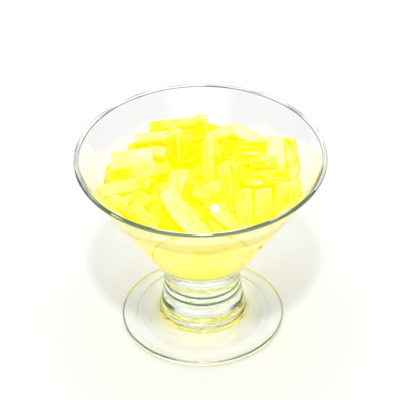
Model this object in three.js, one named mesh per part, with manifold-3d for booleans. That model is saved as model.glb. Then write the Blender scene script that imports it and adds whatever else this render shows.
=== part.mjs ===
// Coconut jelly in its glass: a footed V-shaped dessert coupe of clear pressed glass,
// filled to just under the rim with a heap of yellow jelly strips.
//
// Millimetres, +Z up. The origin is the centre of the ring that the foot stands on.
// The glass is one turned solid. The heap is one solid too: a core that fills the bowl,
// with the strips that show fused on top, cut to clear the inside of the bowl.

import * as THREE from 'three';
import { mergeVertices } from 'three/addons/utils/BufferGeometryUtils.js';
import Module from 'manifold-3d';

const wasm = await Module();
wasm.setup();

// ---- Driving dimensions -------------------------------------------------------------------

const HEIGHT = 98; // foot to rim
const RIM_RADIUS = 60;
const RIM_ROUND = 1.1; // half the rounded lip's thickness
const LIP_BLEND = 3.5; // how far below the lip's middle the inside's straight part ends
const CONE_FLARE = 0.633; // how fast the bowl's outside widens, mm of radius per mm of height

const WALL_AT_RIM = 2.6; // measured level, not square to the wall
const WALL_GAIN = 0.0158; // what the wall gains per mm on the way down
const BOWL_FLOOR = 38.3; // height of the inside's lowest point
const BOWL_ROUND = 18; // radius that rounds the inside's bottom into the cone

const STEM_RADIUS = 18.8; // at the bowl
const STEM_BASE_RADIUS = 20.6; // at the foot
const STEM_BASE = 10.5;
const STEM_TOP = 31.5;
const STEM_WAIST = [STEM_RADIUS - 0.6, 24]; // radius and height that the stem's side leans on
const STEM_SHOULDER = [STEM_RADIUS + 0.9, STEM_TOP + 3]; // the same, where it runs into the bowl
const BOWL_START_RADIUS = 23.6; // where the bowl's straight outside starts

const FOOT_RADIUS = 39.9;
const FOOT_EDGE_ROUND = 1.6;
const FOOT_HUB_RADIUS = 24;
const FOOT_HUB_HEIGHT = 7;
const FOOT_HOLLOW_RADIUS = 31; // shallow hollow under the foot
const FOOT_HOLLOW_DEPTH = 1.2;
const FOOT_HOLLOW_LIP = 3.5; // width of the hollow's rounded edge
const FOOT_SLOPE = [30, 5]; // radius and height that the foot's top leans on
const HUB_FILLET = [STEM_BASE_RADIUS + 0.3, 8.4]; // the same, between the hub and the stem

const GLASS_SEGMENTS = 56;

const GAP = 0.3; // between the jelly and the glass
const CORE_TOP_AT_WALL = 80.5;
const CORE_TOP_AT_CENTRE = 79;
const HEAP_CEILING = 92.6;
const HEAP_SEGMENTS = 40;
const STRIP_CHAMFER = 0.9;
const BOW_STEPS = 4; // lengths that a bent strip is divided into

const GAP_STRIP_COUNT = 34;
const GAP_STRIP_REACH = 41; // how far from the middle they lie
const GAP_STRIP_SEED = 20417;
const GAP_STRIP_RANGES = [
  [79.5, 82], // height of the middle
  [0, 180], // swing
  [-14, 14], // tilt
  [-25, 25], // roll
  [12, 17], // length
  [6.5, 8.5], // width
  [5, 6.5], // thickness
];
const GOLDEN_ANGLE = Math.PI * (3 - Math.sqrt(5));

// turns an extrusion's section and depth into a bar's width, thickness and length
const SECTION_TO_BAR = new THREE.Matrix4().set(0, 0, 1, 0, 1, 0, 0, 0, 0, 1, 0, 0, 0, 0, 0, 1);

// ---- The bowl's two surfaces --------------------------------------------------------------

const LIP_HEIGHT = HEIGHT - RIM_ROUND;
const INNER_FLARE = CONE_FLARE + WALL_GAIN;
const INNER_LEAN = Math.atan(INNER_FLARE); // the inside's angle from the vertical

/** Outside radius of the bowl at a height. */
const outerRadius = (z) => RIM_RADIUS - CONE_FLARE * (LIP_HEIGHT - z);

/** Inside radius of the bowl at a height, on its straight part. */
const innerRadius = (z) => outerRadius(z) - WALL_AT_RIM - WALL_GAIN * (LIP_HEIGHT - z);

/** Height at which the bowl's outside has a radius. */
const outerHeight = (r) => LIP_HEIGHT - (RIM_RADIUS - r) / CONE_FLARE;

// ---- Outlines, as lists of [radius, height] -----------------------------------------------

/** Points along a circular arc, from one angle in degrees to another. */
function arc(centreR, centreZ, radius, from, to, steps) {
  return Array.from({ length: steps + 1 }, (_, i) => {
    const angle = THREE.MathUtils.degToRad(from + ((to - from) * i) / steps);
    return [centreR + radius * Math.cos(angle), centreZ + radius * Math.sin(angle)];
  });
}

/** Points along a smooth bend that starts and ends on two points and leans on a third. */
function bend(start, corner, end, steps) {
  const curve = new THREE.QuadraticBezierCurve(
    new THREE.Vector2(...start), new THREE.Vector2(...corner), new THREE.Vector2(...end));
  return curve.getPoints(steps).map((p) => [p.x, p.y]);
}

/** The bowl's inside from its centre up to a height, moved inward by a clearance. */
function bowlInside(top, clearance, steps) {
  const startRadius = innerRadius(BOWL_FLOOR);
  const arcCentre = startRadius - (BOWL_ROUND * (1 - Math.sin(INNER_LEAN))) / Math.cos(INNER_LEAN);
  const leanDegrees = THREE.MathUtils.radToDeg(INNER_LEAN);
  return [
    [0, BOWL_FLOOR + clearance],
    ...arc(arcCentre, BOWL_FLOOR + BOWL_ROUND, BOWL_ROUND - clearance, -90, -leanDegrees, steps),
    [innerRadius(top) - clearance / Math.cos(INNER_LEAN), top],
  ];
}

/** The whole outline of the glass, from the centre of the underside round to the bowl's floor. */
function glassOutline() {
  const underside = [
    [0, FOOT_HOLLOW_DEPTH],
    ...bend([FOOT_HOLLOW_RADIUS, FOOT_HOLLOW_DEPTH], [FOOT_HOLLOW_RADIUS + 2, 0],
      [FOOT_HOLLOW_RADIUS + FOOT_HOLLOW_LIP, 0], 3),
  ];
  const edgeCentre = FOOT_RADIUS - FOOT_EDGE_ROUND;
  const footEdge = arc(edgeCentre, FOOT_EDGE_ROUND, FOOT_EDGE_ROUND, -90, 70, 6);
  const footTop = bend([edgeCentre - 1, 2 * FOOT_EDGE_ROUND + 0.1], FOOT_SLOPE,
    [FOOT_HUB_RADIUS, FOOT_HUB_HEIGHT], 3);
  const stemFoot = bend([FOOT_HUB_RADIUS - 1, FOOT_HUB_HEIGHT + 0.3], HUB_FILLET,
    [STEM_BASE_RADIUS, STEM_BASE], 3);
  const stem = bend([STEM_BASE_RADIUS - 0.15, STEM_BASE + 2], STEM_WAIST, [STEM_RADIUS, STEM_TOP], 4);
  const stemToBowl = bend([STEM_RADIUS + 0.1, STEM_TOP + 1], STEM_SHOULDER,
    [BOWL_START_RADIUS, outerHeight(BOWL_START_RADIUS)], 3);
  const lip = arc(RIM_RADIUS - RIM_ROUND, LIP_HEIGHT, RIM_ROUND, -30, 150, 6);
  const inside = bowlInside(LIP_HEIGHT - LIP_BLEND, 0, 6).reverse();
  return [...underside, ...footEdge, ...footTop, ...stemFoot, ...stem, ...stemToBowl, ...lip, ...inside];
}

/** The jelly's core: the bowl's inside up to a slightly crowned top. */
function coreOutline() {
  return [...bowlInside(CORE_TOP_AT_WALL, GAP, 6), [0, CORE_TOP_AT_CENTRE]];
}

/** The room that the heap may fill: the bowl's inside up to the heap's ceiling. */
function heapRoomOutline() {
  return [...bowlInside(HEAP_CEILING, GAP, 6), [0, HEAP_CEILING]];
}

// ---- Solids -------------------------------------------------------------------------------

/** A closed geometry turned from an outline round the Z axis. */
function turned(outline, segments) {
  const geometry = new THREE.LatheGeometry(outline.map((p) => new THREE.Vector2(...p)), segments);
  return geometry.rotateX(Math.PI / 2);
}

/** A manifold-3d solid with the shape of a closed geometry. */
function toSolid(geometry) {
  const bare = geometry.clone();
  bare.deleteAttribute('normal');
  bare.deleteAttribute('uv');
  const merged = mergeVertices(bare, 1e-4);
  const index = merged.index.array;
  const corners = [];
  for (let i = 0; i < index.length; i += 3) {
    const [a, b, c] = [index[i], index[i + 1], index[i + 2]];
    if (a !== b && b !== c && c !== a) corners.push(a, b, c);
  }
  return new wasm.Manifold(new wasm.Mesh({
    numProp: 3,
    vertProperties: Float32Array.from(merged.attributes.position.array),
    triVerts: Uint32Array.from(corners),
  }));
}

/** The triangles of the largest connected shell: hollows that joining sealed are filled. */
function largestShell(triangles, pointCount) {
  const parent = Uint32Array.from({ length: pointCount }, (_, i) => i);
  const rootOf = (i) => {
    let root = i;
    while (parent[root] !== root) root = parent[root];
    parent[i] = root;
    return root;
  };
  for (let i = 0; i < triangles.length; i += 3) {
    parent[rootOf(triangles[i + 1])] = rootOf(triangles[i]);
    parent[rootOf(triangles[i + 2])] = rootOf(triangles[i]);
  }
  const shells = new Map();
  for (let i = 0; i < triangles.length; i += 3) {
    const root = rootOf(triangles[i]);
    if (!shells.has(root)) shells.set(root, []);
    shells.get(root).push(triangles[i], triangles[i + 1], triangles[i + 2]);
  }
  return [...shells.values()].reduce((most, shell) => (shell.length > most.length ? shell : most));
}

/** A geometry with the outer surface of a manifold-3d solid. */
function toGeometry(solid) {
  const { vertProperties, triVerts } = solid.getMesh();
  const geometry = new THREE.BufferGeometry();
  geometry.setAttribute('position', new THREE.BufferAttribute(Float32Array.from(vertProperties), 3));
  geometry.setIndex(largestShell(triVerts, vertProperties.length / 3));
  return geometry;
}

// ---- Jelly strips -------------------------------------------------------------------------
// A strip lies along its own X axis, with its width along Y and its thickness along Z. It is
// rolled about its length, tilted up at its far end, then swung round the vertical.
//
// [place, x, y, z, swing, tilt, roll, length, width, thickness, bow], in mm and degrees,
// where the bow is how far the middle of a bent strip stands out of line

const SHOWN_STRIPS = [
  ['back_left_slab', -12.5, 41, 85, 9, 1, 4, 25, 8, 7],
  ['back_block', 1, 42, 82, 90, 68, 0, 15, 8, 7],
  ['back_left_lower', -20.5, 32, 84, 8, 0, 10, 24, 8, 7],
  ['back_left_wedge', -14.5, 33, 84, 60, 10, 30, 12, 8, 7],
  ['back_fill', -5, 36, 82, 8, 0, 20, 18, 9, 8],
  ['left_pale_slab', -33, 15.5, 83.5, 7, 0, 28, 21, 12.5, 7.5],
  ['left_chip', -20.5, 19.5, 85, -25, 10, 20, 9, 7, 6],
  ['left_edge_piece', -37, 5, 82, 10, 0, 15, 15, 9, 7],
  ['left_mid_block', -25.5, 7, 83, -4, 0, 20, 14, 9, 7],
  ['left_front_strip', -39, -10, 85.5, 22, -4, 8, 20, 9, 7],
  ['left_front_lower', -40.5, -18, 84, -32, 0, 20, 15, 9, 6.5],
  ['left_cube', -29.5, -15.5, 83, -44, 0, 10, 12, 10, 7],
  ['front_left_diag', -27.5, -29.5, 83, -50, 3, 10, 22, 8.5, 7],
  ['lean_big', -14, -13, 83, 68, 25, 0, 29, 9.5, 7.5],
  ['curved_pale', -8, -27.5, 84, 122, 12, -6, 32, 10, 7, 1.8],
  ['front_under', -10, -29, 80.5, 100, 20, 0, 18, 10, 7],
  ['front_small', 12, -32, 81.5, 128, 8, 10, 15, 10, 7],
  ['centre_ridge', 5.5, 11, 83, 92, 20, 45, 27, 8.2, 8.2],
  ['left_ridge', -9.5, 17.5, 81.5, 92, 26, 42, 26, 11, 9.5],
  ['gable_left', 11, 33, 84.5, 4, 25, 15, 16, 9.5, 8],
  ['gable_right', 23.5, 31.5, 84.5, -20, -22, 20, 18, 9.5, 8],
  ['back_gap_strip', 6, 37, 81.5, 25, 0, 15, 14, 8, 7],
  ['right_deep_slab', 21.5, 22.5, 83, -4, 0, 12, 25, 11, 8],
  ['right_block', 37.5, 17, 84.3, 84, 30, 6, 20, 14.5, 7.5],
  ['right_block_edge', 43, 15, 84.5, 98, 22, 30, 20, 8, 7.5],
  ['right_bubbly', 30, 11.5, 83.3, 5, 0, 20, 13, 8, 7],
  ['right_slab', 31, -3, 84.5, 0, 0, 15, 24, 9.5, 8],
  ['lean_ridge', 14, -6.5, 82.5, 97, 24, 42, 28, 8.4, 8.4],
  ['front_post_1', 20, -21.5, 82, 90, 34, 0, 19, 9, 7],
  ['front_post_2', 29, -21, 82.5, 88, 34, 6, 18, 9.5, 7],
  ['front_post_3', 38.5, -18.5, 83.5, 80, 30, 0, 18, 9.5, 7],
  ['right_edge_strip', 44, -7.5, 84.5, 98, 15, 30, 21, 6.5, 6.5],
  ['gloss_chip', 6.3, -22.5, 81.5, 0, 0, 39, 9, 10, 7],
  ['ridge_small_1', -3, -4, 81, 130, 10, 30, 13, 7, 6],
  ['ridge_small_2', 5, -5, 81, 10, 5, 30, 10, 8, 6],
  ['wall_left', -39.9, -23, 81.5, -60, 0, -58, 26, 10, 4.5],
  ['wall_front_left', -23.4, -40.5, 82.5, -30, 0, -58, 26, 12, 4.5],
  ['wall_front', 0, -46.8, 82.5, 0, 0, -58, 26, 12, 4.5],
  ['wall_front_right', 23.4, -40.5, 82.5, 30, 0, -58, 26, 12, 4.5],
  ['wall_right', 39.9, -23, 81.5, 60, 0, -58, 26, 10, 4.5],
];

/** A bar with chamfered long edges, centred on the origin and bowed sideways by a given amount. */
function barGeometry(length, width, thickness, bow = 0) {
  const [w, t, c] = [width / 2, thickness / 2, STRIP_CHAMFER];
  const section = new THREE.Shape([
    [-w + c, -t], [w - c, -t], [w, -t + c], [w, t - c],
    [w - c, t], [-w + c, t], [-w, t - c], [-w, -t + c],
  ].map((p) => new THREE.Vector2(...p)));
  const bar = new THREE.ExtrudeGeometry(section, {
    depth: length, steps: bow ? BOW_STEPS : 1, bevelEnabled: false,
  });
  bar.translate(0, 0, -length / 2);
  bar.applyMatrix4(SECTION_TO_BAR);
  const points = bar.attributes.position;
  for (let i = 0; i < points.count; i += 1) {
    const along = (2 * points.getX(i)) / length;
    points.setY(i, points.getY(i) + bow * (1 - along * along));
  }
  return bar;
}

/** One strip as a solid in its place. */
function stripSolid(x, y, z, swing, tilt, roll, length, width, thickness, bow) {
  const [a, b, c] = [roll, -tilt, swing].map(THREE.MathUtils.degToRad);
  const bar = barGeometry(length, width, thickness, bow);
  bar.applyMatrix4(new THREE.Matrix4().makeRotationFromEuler(new THREE.Euler(a, b, c, 'ZYX')));
  return toSolid(bar.translate(x, y, z));
}

/** A repeatable source of numbers from 0 to 1. */
function seededDraw(seed) {
  let state = seed;
  return () => {
    state = (state * 16807) % 2147483647;
    return state / 2147483647;
  };
}

/** The strips that lie low in the gaps: turned every way, spread evenly over the heap. */
function gapStrips() {
  const draw = seededDraw(GAP_STRIP_SEED);
  const between = (low, high) => low + (high - low) * draw();
  return Array.from({ length: GAP_STRIP_COUNT }, (_, i) => {
    const radius = GAP_STRIP_REACH * Math.sqrt((i + 0.5) / GAP_STRIP_COUNT);
    const angle = i * GOLDEN_ANGLE;
    const drawn = GAP_STRIP_RANGES.map(([low, high]) => between(low, high));
    return [radius * Math.cos(angle), radius * Math.sin(angle), ...drawn];
  });
}

/** The heap: its core and every strip, cut to the room inside the bowl. */
function heapGeometry() {
  const room = toSolid(turned(heapRoomOutline(), HEAP_SEGMENTS));
  const shown = SHOWN_STRIPS.map(([, ...strip]) => stripSolid(...strip));
  const low = gapStrips().map((strip) => stripSolid(...strip));
  const strips = [...shown, ...low].reduce((joined, strip) => joined.add(strip));
  const core = toSolid(turned(coreOutline(), HEAP_SEGMENTS));
  return toGeometry(strips.intersect(room).add(core));
}

// ---- The object ---------------------------------------------------------------------------

const glass = new THREE.Mesh(
  turned(glassOutline(), GLASS_SEGMENTS),
  new THREE.MeshStandardMaterial({
    color: 0xe4efe8, roughness: 0.03, metalness: 0, transparent: true, opacity: 0.3,
  }),
);
glass.name = 'glass_coupe';

const heap = new THREE.Mesh(
  heapGeometry(),
  new THREE.MeshStandardMaterial({ color: 0xfdfa78, roughness: 0.25, metalness: 0 }),
);
heap.name = 'jelly_heap';

const coconutJelly = new THREE.Group();
coconutJelly.add(glass, heap);

export default coconutJelly;
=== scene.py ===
"""Strips of coconut jelly in clear yellow syrup, heaped in a footed glass coupe."""
from __future__ import annotations

import logging
import math
from dataclasses import dataclass
from functools import partial, reduce
from typing import Callable, Sequence

import bpy
from mathutils import Euler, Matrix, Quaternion, Vector
from mathutils.bvhtree import BVHTree

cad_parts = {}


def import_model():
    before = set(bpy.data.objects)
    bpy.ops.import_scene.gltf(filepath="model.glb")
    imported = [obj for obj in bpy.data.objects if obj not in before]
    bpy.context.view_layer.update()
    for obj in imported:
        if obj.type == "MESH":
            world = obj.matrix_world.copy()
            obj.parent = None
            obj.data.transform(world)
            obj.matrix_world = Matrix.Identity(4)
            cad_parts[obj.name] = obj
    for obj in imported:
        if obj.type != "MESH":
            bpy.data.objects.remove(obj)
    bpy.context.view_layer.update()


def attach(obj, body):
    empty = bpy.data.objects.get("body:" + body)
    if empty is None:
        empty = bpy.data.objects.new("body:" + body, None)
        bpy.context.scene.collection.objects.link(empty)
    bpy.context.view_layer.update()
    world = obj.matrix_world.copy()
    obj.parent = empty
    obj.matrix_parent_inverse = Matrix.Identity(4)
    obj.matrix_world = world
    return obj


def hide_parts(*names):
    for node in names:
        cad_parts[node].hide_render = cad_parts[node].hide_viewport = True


LOG = logging.getLogger("coconut_jelly")

MM = 0.001
FULL_TURN = 2.0 * math.pi
GOLDEN_TURN = math.pi * (3 - math.sqrt(5))
DRAW_FACTOR = 16807
DRAW_RANGE = 2147483647
BODY = "root"
GLASS_NODE = "glass_coupe"
HEAP_NODE = "jelly_heap"

Point = tuple[float, float]
Outline = list[Point]
Span = tuple[float, float]
Triple = tuple[float, float, float]
Colour = tuple[float, float, float, float]
Piece = bpy.types.Object
Material = bpy.types.Material
Node = bpy.types.Node
Socket = bpy.types.NodeSocket

WHITE: Colour = (1.0, 1.0, 1.0, 1.0)
BLACK: Colour = (0.0, 0.0, 0.0, 1.0)


# ---- Working by hand ----


def deselect_everything() -> None:
    """Leaves nothing selected, so that an operator acts only on what is picked next."""
    if bpy.context.mode != "OBJECT":
        bpy.ops.object.mode_set(mode="OBJECT")
    bpy.ops.object.select_all(action="DESELECT")


def pick(piece: Piece) -> None:
    """Makes one object the only selected one and the active one.

    Args:
        piece: The object to work on.
    """
    deselect_everything()
    piece.select_set(True)
    bpy.context.view_layer.objects.active = piece


def select_vertices(piece: Piece, wanted: Callable[[Vector], bool]) -> None:
    """Enters edit mode with only the wanted vertices selected.

    Args:
        piece: The object to edit.
        wanted: Says of a vertex's place whether it is wanted.
    """
    pick(piece)
    bpy.ops.object.mode_set(mode="EDIT")
    bpy.ops.mesh.select_mode(type="VERT")
    bpy.ops.mesh.select_all(action="DESELECT")
    bpy.ops.object.mode_set(mode="OBJECT")
    for vertex in piece.data.vertices:
        vertex.select = wanted(vertex.co)
    bpy.ops.object.mode_set(mode="EDIT")


def settle(piece: Piece) -> None:
    """Puts a piece's place, turn and scale into its mesh, so that it ends at the origin, unturned."""
    pick(piece)
    bpy.ops.object.transform_apply(location=True, rotation=True, scale=True)


def bar(name: str, size: Sequence[float]) -> Piece:
    """Makes a bar in the middle of everything.

    Args:
        name: The bar's name.
        size: Its length, width and thickness, mm.

    Returns:
        The bar.
    """
    deselect_everything()
    bpy.ops.mesh.primitive_cube_add(size=1.0)
    piece = bpy.context.object
    piece.name = piece.data.name = name
    piece.scale = Vector(size) * MM
    settle(piece)
    return piece


def apply_modifier(piece: Piece, kind: str, **values: object) -> None:
    """Adds a modifier to a piece and applies it at once.

    Args:
        piece: The object to change.
        kind: The modifier's type.
        **values: The modifier's settings by name.
    """
    pick(piece)
    modifier = piece.modifiers.new(kind.title(), kind)
    for name, value in values.items():
        setattr(modifier, name, value)
    bpy.ops.object.modifier_apply(modifier=modifier.name)


def keep_attribute(
    piece: Piece, name: str, domain: str, values: Sequence[float], kind: str = "FLOAT",
) -> None:
    """Keeps a row of numbers on a piece's mesh for its finish to read.

    Args:
        piece: The piece.
        name: The attribute's name.
        domain: What each number belongs to, POINT or CORNER.
        values: The numbers in the mesh's own order.
        kind: FLOAT, or FLOAT_VECTOR for three numbers in a row for each.
    """
    attribute = piece.data.attributes.new(name, kind, domain)
    attribute.data.foreach_set("value" if kind == "FLOAT" else "vector", values)


def fuse(pieces: Sequence[Piece], name: str) -> Piece:
    """Fuses closed pieces that run into each other into one closed skin.

    Args:
        pieces: The objects to fuse.
        name: The fused object's name.

    Returns:
        The fused object.
    """
    whole = pieces[0]
    others = bpy.data.collections.new("others")
    for piece in pieces[1:]:
        others.objects.link(piece)
    apply_modifier(
        whole, "BOOLEAN", operation="UNION", operand_type="COLLECTION", collection=others, solver="MANIFOLD",
    )
    for piece in pieces[1:]:
        bpy.data.objects.remove(piece)
    bpy.data.collections.remove(others)
    whole.name = whole.data.name = name
    pick(whole)
    bpy.ops.object.shade_smooth_by_angle(angle=math.radians(42))
    return whole


def ray_tree(piece: Piece) -> BVHTree:
    """A piece's faces, sorted so that a ray finds the first one quickly."""
    mesh = piece.data
    return BVHTree.FromPolygons([v.co for v in mesh.vertices], [tuple(p.vertices) for p in mesh.polygons])


def mark_openness(
    piece: Piece, rays: int = 16, reach: float = 14.0, lowest: float = -0.5, lift: float = 0.1,
) -> None:
    """Keeps on each vertex how open it lies, from 0 deep in a gap to 1 where nothing is near.

    Args:
        piece: The fused strips.
        rays: How many ways are looked from each vertex.
        reach: How far is looked, mm.
        lowest: How high the lowest way points, from -1 straight down to 1 straight up.
        lift: How far off the surface each look starts, mm.
    """
    tree = ray_tree(piece)
    ways = []
    for i in range(rays):
        height = 1 - (i + 0.5) / rays * (1 - lowest)
        flat = math.sqrt(1 - height * height)
        ways.append(Vector((flat * math.cos(i * GOLDEN_TURN), flat * math.sin(i * GOLDEN_TURN), height)))
    openness: list[float] = []
    for vertex in piece.data.vertices:
        start = vertex.co + vertex.normal * lift * MM
        seen = total = 0.0
        for way in ways:
            weight = vertex.normal.dot(way)
            if weight <= 0.0:
                continue
            total += weight
            if tree.ray_cast(start, way, reach * MM)[0] is None:
                seen += weight
        openness.append(seen / total if total else 0.0)
    # The jelly's finish paints shade in the gaps from this.
    keep_attribute(piece, "openness", "POINT", openness)


def arc(centre_r: float, centre_z: float, radius: float, start: float, end: float, steps: int) -> Outline:
    """Points of an arc in the plane of radius and height, in mm and in degrees from outwards."""
    angles = [math.radians(start + (end - start) * i / steps) for i in range(steps + 1)]
    return [(centre_r + radius * math.cos(a), centre_z + radius * math.sin(a)) for a in angles]


def bend(first: Point, pull: Point, last: Point, steps: int) -> Outline:
    """Points of a smooth bend between two points, drawn towards a third.

    Args:
        first: The bend's first point, mm.
        pull: The point that the bend is drawn towards, mm.
        last: The bend's last point, mm.
        steps: How many straight steps the bend has.

    Returns:
        The points from first to last.
    """
    points = []
    for i in range(steps + 1):
        t = i / steps
        a, b, c = (1 - t) ** 2, 2 * t * (1 - t), t * t
        points.append((a * first[0] + b * pull[0] + c * last[0], a * first[1] + b * pull[1] + c * last[1]))
    return points


def turned_shell(name: str, outline: Outline, steps: int, crease: float) -> Piece:
    """Turns an outline round the upright axis into a closed shell.

    Args:
        name: The shell's name.
        outline: Radius and height of each point in mm, from the axis round to the axis.
        steps: How many steps the full turn has.
        crease: The angle in degrees above which an edge stays sharp.

    Returns:
        The shell.
    """
    deselect_everything()
    bpy.ops.mesh.primitive_plane_add(size=MM)
    shell = bpy.context.object
    shell.name = shell.data.name = name
    bpy.ops.object.mode_set(mode="EDIT")
    bpy.ops.mesh.merge(type="CENTER")
    bpy.ops.transform.translate(value=(outline[0][0] * MM, 0.0, outline[0][1] * MM))
    here = outline[0]
    for point in outline[1:]:
        step = ((point[0] - here[0]) * MM, 0.0, (point[1] - here[1]) * MM)
        bpy.ops.mesh.extrude_vertices_move(TRANSFORM_OT_translate={"value": step})
        here = point
    bpy.ops.mesh.select_all(action="SELECT")
    bpy.ops.mesh.spin(steps=steps, angle=FULL_TURN, center=(0, 0, 0), axis=(0, 0, 1))
    bpy.ops.mesh.select_all(action="SELECT")
    bpy.ops.mesh.remove_doubles(threshold=1e-6)
    bpy.ops.mesh.normals_make_consistent(inside=False)
    bpy.ops.object.mode_set(mode="OBJECT")
    bpy.ops.object.shade_smooth_by_angle(angle=math.radians(crease))
    return shell


def seeded_draw(seed: int) -> Callable[[float, float], float]:
    """A repeatable source of numbers.

    Args:
        seed: Where the row of numbers starts.

    Returns:
        A function that gives the next number between a low and a high one.
    """
    state = seed

    def between(low: float, high: float) -> float:
        """The next number between low and high."""
        nonlocal state
        state = state * DRAW_FACTOR % DRAW_RANGE
        return low + (high - low) * state / DRAW_RANGE

    return between


def spread(reach: float, count: int, turn: float = 0.0, inset: float = 0.5) -> list[Point]:
    """Places spread evenly over a round.

    Args:
        reach: The round's radius.
        count: How many places there are.
        turn: How far they are turned about its middle, in radians.
        inset: How far from its middle they start, in steps.

    Returns:
        The places.
    """
    radii = [reach * math.sqrt((i + inset) / count) for i in range(count)]
    angles = [turn + i * GOLDEN_TURN for i in range(count)]
    return [(radius * math.cos(angle), radius * math.sin(angle)) for radius, angle in zip(radii, angles)]


def finish_piece(piece: Piece, material: Material, node: str) -> None:
    """Dresses a piece, lets it ride on the body and hides the solid that it stands for.

    Args:
        piece: The finished piece.
        material: Its finish.
        node: The solid that the piece stands for.
    """
    piece.data.materials.clear()
    piece.data.materials.append(material)
    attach(piece, BODY)
    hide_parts(node)
    LOG.info("%s: %d faces", piece.name, len(piece.data.polygons))


# ---- Finishes ----


@dataclass(frozen=True)
class Passing:
    """How light passes a clear material: its colour square on and grazing, and how much gets through."""

    face_on: Colour
    edge_on: Colour
    ambient: float
    grazing: float = 0.35


@dataclass
class Shading:
    """A node tree, with short ways to add and join its nodes."""

    tree: bpy.types.NodeTree

    def join(self, source: Socket, target: Socket) -> None:
        """Joins an output socket to an input socket."""
        self.tree.links.new(source, target)

    def feed(self, socket: Socket, value: object) -> None:
        """Joins a socket to another or gives it a plain value."""
        if isinstance(value, Socket):
            self.join(value, socket)
        else:
            socket.default_value = value

    def node(self, kind: str, *inputs: object, **settings: object) -> Node:
        """Adds a node.

        Args:
            kind: The node's type without its ShaderNode prefix.
            *inputs: What feeds its inputs, from the first on: sockets or plain values.
            **settings: The node's own settings by name.

        Returns:
            The new node.
        """
        made = self.tree.nodes.new("ShaderNode" + kind)
        for name, value in settings.items():
            setattr(made, name, value)
        for socket, value in zip(made.inputs, inputs):
            self.feed(socket, value)
        return made

    def math(self, operation: str, *inputs: object) -> Socket:
        """What an operation on numbers or sockets gives."""
        return self.node("Math", *inputs, operation=operation).outputs[0]

    def product(self, *factors: object) -> Socket:
        """The product of numbers or sockets."""
        return reduce(partial(self.math, "MULTIPLY"), factors)

    def about(self, pattern: Socket, gain: float) -> Socket:
        """How far a pattern lies above its middle of a half, times a gain."""
        return self.product(self.math("SUBTRACT", pattern, 0.5), gain)

    def share(self, source: Socket, least: float, more: float) -> Socket:
        """A least share, and as much more as a value from 0 to 1 asks for."""
        return self.math("ADD", least, self.product(source, more))

    def away(self, source: Socket, place: float) -> Socket:
        """How far a value is from a place, whichever way."""
        return self.math("ABSOLUTE", self.math("SUBTRACT", source, place))

    def fade(self, source: Socket, span: Span, unit: float = 1.0) -> Socket:
        """A soft step, from where it starts to where it is full, both counted in a unit."""
        ends = [end * unit for end in span]
        return self.node("MapRange", source, *ends, interpolation_type="SMOOTHSTEP").outputs[0]

    def fade_mm(self, source: Socket, *spans: Span) -> Socket:
        """The product of soft steps over spans in mm."""
        return self.product(*(self.fade(source, span, MM) for span in spans))

    def blend(self, factor: object, first: object, second: object) -> Socket:
        """Adds a blend of two colours.

        Args:
            factor: How much of the second colour shows, a number or a socket.
            first: The first colour or its socket.
            second: The second colour or its socket.

        Returns:
            The blended colour's socket.
        """
        made = self.node("Mix", factor, data_type="RGBA")
        self.feed(made.inputs[6], first)
        self.feed(made.inputs[7], second)
        return made.outputs[2]

    def split(self, vector: Socket) -> bpy.types.bpy_prop_collection:
        """The three sockets with a vector's own numbers."""
        return self.node("SeparateXYZ", vector).outputs

    def noise(self, vector: Socket, scale: float, detail: float) -> Socket:
        """A soft random pattern: how fine it is, and how many finer ones lie on it."""
        return self.node("TexNoise", vector, 0.0, scale, detail).outputs[0]

    def stretched(self, vector: Socket, scale: Triple) -> Socket:
        """A vector scaled by its own amount each way."""
        return self.node("Mapping", vector, (0, 0, 0), (0, 0, 0), scale).outputs[0]


class Sheet(Shading):
    """A material's node tree."""

    def __init__(self, name: str) -> None:
        """Makes a new material with only its output.

        Args:
            name: The material's name.
        """
        self.material = bpy.data.materials.new(name)
        self.material.use_nodes = True
        super().__init__(self.material.node_tree)
        self.tree.nodes.clear()
        self.output = self.tree.nodes.new("ShaderNodeOutputMaterial")

    def attribute(self, name: str, output: str = "Fac") -> Socket:
        """The socket that reads one of the mesh's own attributes."""
        return self.node("Attribute", attribute_name=name).outputs[output]

    def place(self) -> Socket:
        """The socket with each point's own place on the object."""
        return self.node("TexCoord").outputs["Object"]

    def principled(self, **values: object) -> Node:
        """Adds the main shader.

        Args:
            **values: Its sockets' values, with _ for the spaces in their names.

        Returns:
            The shader's node.
        """
        shader = self.node("BsdfPrincipled")
        for name, value in values.items():
            self.feed(shader.inputs[name.replace("_", " ")], value)
        return shader

    def mixed(self, factor: Socket, first: Node, second: Node) -> Node:
        """A mix of two shaders, with how much of the second shows."""
        return self.node("MixShader", factor, first.outputs[0], second.outputs[0])

    def show(self, shader: Node) -> Material:
        """Shows a shader on the surface and gives back the finished material."""
        self.join(shader.outputs[0], self.output.inputs["Surface"])
        return self.material

    def absorb(self, colour: Colour, density: float) -> None:
        """Lets the inside take up light, so that only this colour comes through its depth."""
        self.join(self.node("VolumeAbsorption", colour, density).outputs[0], self.output.inputs["Volume"])

    def see_through(self, shader: Node, passing: Passing, shade: object = 0.0) -> Material:
        """Lets light pass a clear material on its way to what lies behind it, and shows it.

        Args:
            shader: The clear material's shader.
            passing: How light passes.
            shade: How much of the light is held back besides, from 0 to 1.

        Returns:
            The finished material.
        """
        path = self.node("LightPath")
        through = self.product(path.outputs["Is Diffuse Ray"], passing.ambient)
        factor = self.math("MAXIMUM", path.outputs["Is Shadow Ray"], through)
        graze = self.node("LayerWeight", passing.grazing).outputs["Facing"]
        tint = self.blend(graze, passing.face_on, passing.edge_on)
        clear = self.node("BsdfTransparent", self.blend(shade, tint, BLACK))
        return self.show(self.mixed(factor, shader, clear))


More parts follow.
